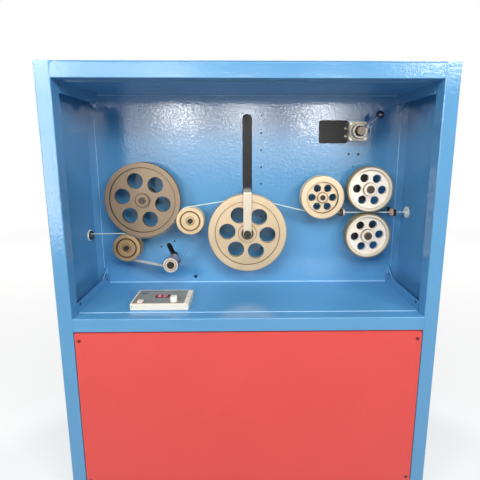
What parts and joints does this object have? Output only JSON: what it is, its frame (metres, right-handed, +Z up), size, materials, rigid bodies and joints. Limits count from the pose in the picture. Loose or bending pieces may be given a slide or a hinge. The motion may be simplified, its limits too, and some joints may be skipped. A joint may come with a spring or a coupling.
{
  "type": "wire capstan machine",
  "caption": "Cabinet machine that pulls wire: a belt-pressed capstan wheel, a dancer wheel in a slot, a guide wheel and two pinch rollers in an open work bay.",
  "frame": {"origin": "on the floor at the middle of the cabinet's footprint", "axes": "+X to the right of someone who faces the work bay, +Y from the front to the back, +Z up"},
  "size_m": [1.2, 0.64, 1.467],
  "materials": {
    "blue_paint": "semi-gloss, lightly textured",
    "red_paint": "semi-gloss",
    "zinc_steel": "zinc plated",
    "dark_steel": "oiled black",
    "ground_steel": "ground",
    "brown_aluminium": "hard anodised, matt",
    "cream_aluminium": "anodised, satin",
    "bright_aluminium": "turned",
    "white_bar": "satin",
    "belt_fabric": "woven back",
    "tyre_rubber": "moulded",
    "wire_sheath": "extruded",
    "pink_ceramic": "polished",
    "black_plastic": "moulded",
    "cream_plastic": "moulded",
    "grey_face": "satin",
    "dark_window": "clear cover",
    "pale_ceramic": "polished"
  },
  "bodies": {
    "cabinet": {"corner_posts": "blue_paint", "middle_posts": "blue_paint", "cross_rails": "blue_paint", "side_rails": "blue_paint", "levelling_feet": "zinc_steel", "bay_side_panels": "blue_paint", "side_cover_panels": "blue_paint", "front_lower_panel": "red_paint", "rear_panels": "blue_paint", "panel_lugs": "blue_paint", "top_cover": "blue_paint", "floor_plate": "blue_paint", "shelf_plate": "blue_paint", "ceiling_plate": "blue_paint", "corner_gussets": "blue_paint", "back_panel": "blue_paint", "spindle_bearings": "ground_steel", "roller_axles": "dark_steel", "tension_block": "dark_steel", "press_belt": "belt_fabric", "dancer_rail": "ground_steel", "wire_infeed": "wire_sheath", "wire_rising_span": "wire_sheath", "wire_falling_span": "wire_sheath", "wire_outfeed": "wire_sheath", "guide_holders": "dark_steel", "guide_eyelets": "pink_ceramic", "wall_eyelets": "pale_ceramic", "valve_body": "bright_aluminium", "valve_fittings": "ground_steel", "controller_case": "cream_plastic", "controller_face": "grey_face", "display_window": "dark_window"},
    "capstan": {"capstan_wheel": "brown_aluminium", "capstan_shaft": "dark_steel"},
    "press_roller": {"press_roller": "cream_aluminium"},
    "guide_pulley": {"guide_pulley": "cream_aluminium"},
    "tension_roller": {"tension_roller": "ground_steel"},
    "dancer_carriage": {"dancer_carriage": "dark_steel", "dancer_yoke": "white_bar", "dancer_axle": "dark_steel", "wire_over_dancer": "wire_sheath"},
    "dancer_wheel": {"dancer_wheel": "cream_aluminium"},
    "guide_wheel": {"guide_wheel": "cream_aluminium"},
    "upper_pinch_slide": {"upper_pinch_slide": "ground_steel"},
    "upper_pinch_roller": {"upper_pinch_core": "bright_aluminium", "upper_pinch_tyre": "tyre_rubber", "upper_pinch_spindle": "ground_steel"},
    "lower_pinch_roller": {"lower_pinch_core": "bright_aluminium", "lower_pinch_tyre": "tyre_rubber", "lower_pinch_spindle": "ground_steel"},
    "valve_lever": {"valve_lever": "ground_steel", "valve_ball": "black_plastic"},
    "speed_knob": {"speed_knob": "cream_plastic"},
    "power_rocker": {"power_rocker": "cream_plastic"}
  },
  "joints": [
    {"name": "capstan_spin", "type": "hinge", "parent": "cabinet", "child": "capstan", "pos_m": [-0.39, -0.052, 1.039], "axis": [0, 1, 0], "continuous": true},
    {"name": "press_roller_spin", "type": "hinge", "parent": "cabinet", "child": "press_roller", "pos_m": [-0.45561, -0.052, 0.86069], "axis": [0, 1, 0], "continuous": true},
    {"name": "guide_pulley_spin", "type": "hinge", "parent": "cabinet", "child": "guide_pulley", "pos_m": [-0.21602, -0.052, 0.96263], "axis": [0, 1, 0], "continuous": true},
    {"name": "tension_roller_spin", "type": "hinge", "parent": "cabinet", "child": "tension_roller", "pos_m": [-0.289, -0.052, 0.801], "axis": [0, 1, 0], "continuous": true},
    {"name": "dancer_slide", "type": "slide", "parent": "cabinet", "child": "dancer_carriage", "axis": [0, 0, 1], "range_m": [0, 0.269], "deforming": ["wire_rising_span", "wire_falling_span"]},
    {"name": "dancer_spin", "type": "hinge", "parent": "dancer_carriage", "child": "dancer_wheel", "pos_m": [-0.004, -0.052, 0.915], "axis": [0, 1, 0], "continuous": true},
    {"name": "guide_wheel_spin", "type": "hinge", "parent": "cabinet", "child": "guide_wheel", "pos_m": [0.273, -0.052, 1.049], "axis": [0, 1, 0], "continuous": true},
    {"name": "upper_pinch_lift", "type": "slide", "parent": "cabinet", "child": "upper_pinch_slide", "axis": [0, 0, 1], "range_m": [0, 0.025]},
    {"name": "upper_pinch_spin", "type": "hinge", "parent": "upper_pinch_slide", "child": "upper_pinch_roller", "pos_m": [0.449, -0.052, 1.0782], "axis": [0, 1, 0], "continuous": true},
    {"name": "lower_pinch_spin", "type": "hinge", "parent": "cabinet", "child": "lower_pinch_roller", "pos_m": [0.449, -0.052, 0.903], "axis": [0, 1, 0], "continuous": true},
    {"name": "valve_lever_turn", "type": "hinge", "parent": "cabinet", "child": "valve_lever", "pos_m": [0.4, -0.0763, 1.289], "axis": [0, 1, 0], "range_deg": [-45, 45]},
    {"name": "speed_knob_turn", "type": "hinge", "parent": "cabinet", "child": "speed_knob", "pos_m": [-0.253, -0.234, 0.73], "axis": [0, 0, 1], "range_deg": [-150, 150]},
    {"name": "power_rocker_tilt", "type": "hinge", "parent": "cabinet", "child": "power_rocker", "pos_m": [-0.364, -0.237, 0.7205], "axis": [0, 1, 0], "range_deg": [-8, 8]}
  ],
  "couplings": [
    {"joint": "press_roller_spin", "follows": "capstan_spin", "ratio": -3.0084},
    {"joint": "guide_pulley_spin", "follows": "capstan_spin", "ratio": -3.0084},
    {"joint": "tension_roller_spin", "follows": "capstan_spin", "ratio": -5.8683}
  ]
}
